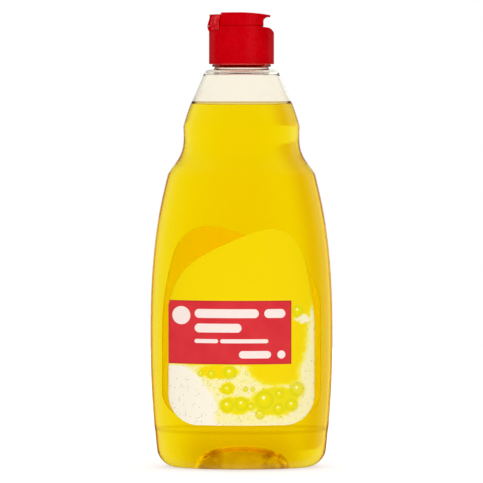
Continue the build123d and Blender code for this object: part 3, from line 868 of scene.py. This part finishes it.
def glue_side():
    """Inner face of both films, seen through the liquid."""
    g = Finish("glue_side")
    position = g.place()[0]
    g.set("Base Color", g.mix(g.cloud(position, 0.12, 3), rgb(255, 240, 170), rgb(255, 236, 160)))
    g.set("Roughness", 0.6)
    g.set("Subsurface Weight", 1.0)
    g.set("Subsurface Radius", (1.0, 1.0, 1.0))
    g.set("Subsurface Scale", 0.0006)
    # Painted glow: the film is thin, and an emission stands in for the light behind it showing through
    g.set("Emission Color", (1.0, 0.52, 0.05))
    g.set("Emission Strength", 0.15)
    return g.material


FLOOR_RADIUS, FLOOR_CORNERS, FLOOR_GREY = 0.9, 96, 0.96
CAMERA_PLACE, CAMERA_TARGET, CAMERA_ANGLE = (0, -1.8, 0.171), (0, 0, 0.1082), 7.365
# Lamps: name, place, target, size, power
LAMPS = [
    ("key", (-0.9, -1.6, 1.1), (0, 0, 0.1), (1.2, 1.2), 15),
    ("fill", (1.2, -1.5, 0.7), (0, 0, 0.1), (1.2, 1.2), 10),
    ("top", (0, 0.3, 1.8), (0, 0, 0), (1.6, 1.6), 11),
    ("rear", (0.3, 1.9, 1.0), (0, 0, 0.1), (1.6, 1.2), 24),
]
BLACK_LEVEL = 0.004
BOUNCES, GLOSSY_BOUNCES = 32, 16


def make_stage():
    """Round white floor."""
    mesh = bpy.data.meshes.new("floor")
    turns = [2 * math.pi * k / FLOOR_CORNERS for k in range(FLOOR_CORNERS)]
    verts = [(FLOOR_RADIUS * math.cos(t), FLOOR_RADIUS * math.sin(t), 0) for t in turns]
    mesh.from_pydata(verts, [], [tuple(range(FLOOR_CORNERS))])
    floor = add_object("floor", mesh)
    g = Finish("floor")
    g.set("Base Color", (FLOOR_GREY, FLOOR_GREY, FLOOR_GREY))
    g.set("Roughness", 1.0)
    g.set("Specular IOR Level", 0.0)
    floor.data.materials.append(g.material)
    floor.visible_glossy = False
    floor.visible_transmission = False


def aim(obj, place, target):
    """Puts an object at a place, looking at a target."""
    obj.location = place
    obj.rotation_euler = (Vector(target) - Vector(place)).to_track_quat("-Z", "Y").to_euler()


def make_light(name, place, target, size, power):
    """Soft lamp that lights matt surfaces and leaves no hard patch in the gloss."""
    light = bpy.data.lights.new(name, "AREA")
    light.shape = "RECTANGLE"
    light.size, light.size_y = size
    light.energy = power
    obj = add_object(name, light)
    aim(obj, place, target)
    obj.visible_glossy = False
    obj.visible_transmission = False
    obj.visible_camera = False


def make_camera():
    """Camera in front of the bottle and a little above its middle."""
    camera = bpy.data.cameras.new("camera")
    camera.sensor_width = 36
    camera.angle = math.radians(CAMERA_ANGLE)
    camera.clip_start, camera.clip_end = 0.05, 50
    obj = add_object("camera", camera)
    aim(obj, CAMERA_PLACE, CAMERA_TARGET)
    bpy.context.scene.camera = obj


def make_world():
    """White surround seen directly and through the bottle, and a dim studio in the gloss."""
    world = bpy.data.worlds.new("studio")
    bpy.context.scene.world = world
    world.use_nodes = True
    world.cycles.sampling_method = "NONE"
    g = Graph(world.node_tree)
    x, y, z = g.split(g.nodes.new("ShaderNodeTexCoord").outputs["Generated"])
    sideways = g.size(x)
    path = g.nodes.new("ShaderNodeLightPath").outputs
    seen, soft, refracted = path["Is Camera Ray"], path["Is Diffuse Ray"], path["Is Transmission Ray"]
    glossy_depth = path["Glossy Depth"]

    # A ray that comes straight back out of the near wall has met the wall twice at most
    few_walls = g.math("LESS_THAN", path["Transmission Depth"], 4.5)
    returned = g.times(g.math("GREATER_THAN", glossy_depth, 0.5), few_walls)
    hard = g.minus(1.0, g.highest(seen, soft))
    through = g.times(hard, refracted, g.minus(1.0, returned))
    mirrored = g.minus(hard, through)

    # What matt surfaces get, brighter from above
    ambient = g.smooth(z, -0.2, 1.0, 0.28, 0.5)
    # What is seen through the bottle: white, dim under the floor, brighter after a reflection
    backlight = g.times(
        g.smooth(sideways, 0.75, 1.0, 1.03, 0.95),
        g.smooth(z, -0.6, -0.1, 0.6, 1.0),
        g.smooth(glossy_depth, 0.0, 1.0, 1.0, 1.3),
    )
    # What gloss shows: a dark room with a panel at each side, a pale ceiling and the white behind
    panel = g.times(
        g.smooth(sideways, 0.62, 0.80),
        g.smooth(sideways, 0.98, 0.86),
        g.smooth(y, 0.0, 0.3),
        g.smooth(g.size(z), 0.6, 0.3),
    )
    behind = g.times(g.smooth(y, 0.85, 0.97, 0.0, 0.5), g.smooth(z, -0.1, 0.05))
    room = g.plus(g.times(panel, 0.22), 0.03, g.smooth(z, 0.1, 1.0, 0.0, 0.4), behind)
    # What is mirrored inside the clear wall and the liquid, paler at the right
    guided = g.times(
        mirrored,
        refracted,
        g.smooth(y, 0.0, 0.4, 0.0, 0.95),
        g.smooth(x, -0.3, 0.3, 0.45, 1.1),
    )
    parts = (seen, g.times(soft, ambient), g.times(through, backlight), g.times(mirrored, room), guided)
    # Low at one side the white is a little amber
    amber = g.times(
        g.smooth(x, -0.10, -0.22),
        g.smooth(x, -0.50, -0.38),
        through,
        g.smooth(z, -0.025, -0.045),
    )
    background = g.nodes["Background"].inputs
    g.put(background["Strength"], g.plus(*parts))
    g.put(background["Color"], g.mix(amber, (1.0, 1.0, 1.0), (0.88, 0.72, 0.5)))


make_world()
make_stage()
make_camera()
for lamp in LAMPS:
    make_light(*lamp)
scene = bpy.context.scene
scene.view_settings.view_transform = "Standard"
scene.view_settings.use_curve_mapping = True
scene.view_settings.curve_mapping.black_level = (BLACK_LEVEL, BLACK_LEVEL, BLACK_LEVEL)
scene.view_settings.curve_mapping.update()
scene.cycles.max_bounces = BOUNCES
scene.cycles.transmission_bounces = BOUNCES
scene.cycles.glossy_bounces = GLOSSY_BOUNCES

bottle = shell_from_rings("clear_bottle", bottle_rings())
bottle.data.materials.append(pet_material())
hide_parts("bottle")
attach(bottle, "filled_bottle")

liquid = shell_from_rings("washing_up_liquid", liquid_rings())
liquid.data.materials.append(liquid_material())
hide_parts("liquid")
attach(liquid, "filled_bottle")

glue = glue_side()
labels = []
for name, side, ink in (("front_label", -1, front_print()), ("back_label", 1, back_print())):
    label = make_label(name + "_film", side, ink, glue)
    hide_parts(name)
    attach(label, "filled_bottle")
    labels.append(label)

red = plastic_material("red_cap")
for name in ("cap_base", "flip_lid"):
    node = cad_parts[name]
    node.data.materials.clear()
    node.data.materials.append(red)

folded = plastic_material("red_cap_folded", folded=True)
film_foot = -HINGE_X - FILM_INSET
film_path = [(film_foot, HINGE_Z - 0.3), (film_foot + 0.02, HINGE_Z), (film_foot, HINGE_Z + 0.3)]
film = make_strap("hinge_film", math.pi, film_path, HINGE_WIDTH, HINGE_FILM)
film.data.materials.append(folded)
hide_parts("living_hinge")
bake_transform(film)
strap_foot = SKIRT_RADIUS - STRAP_FILM + STRAP_PROUD
strap_path = [(strap_foot + out, HINGE_Z + up) for out, up in STRAP_BOW]
for name, side in (("hinge_strap_back", 1), ("hinge_strap_front", -1)):
    turn = math.pi - side * math.radians(STRAP_ANGLE)
    strap = make_strap(name, turn, strap_path, STRAP_WIDTH, STRAP_FILM)
    strap.data.materials.append(folded)
    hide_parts("living_hinge")
    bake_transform(strap)

# Light reaches the labels' inner faces through the clear wall and the liquid
for piece in (bottle, liquid, *labels):
    piece.visible_shadow = False
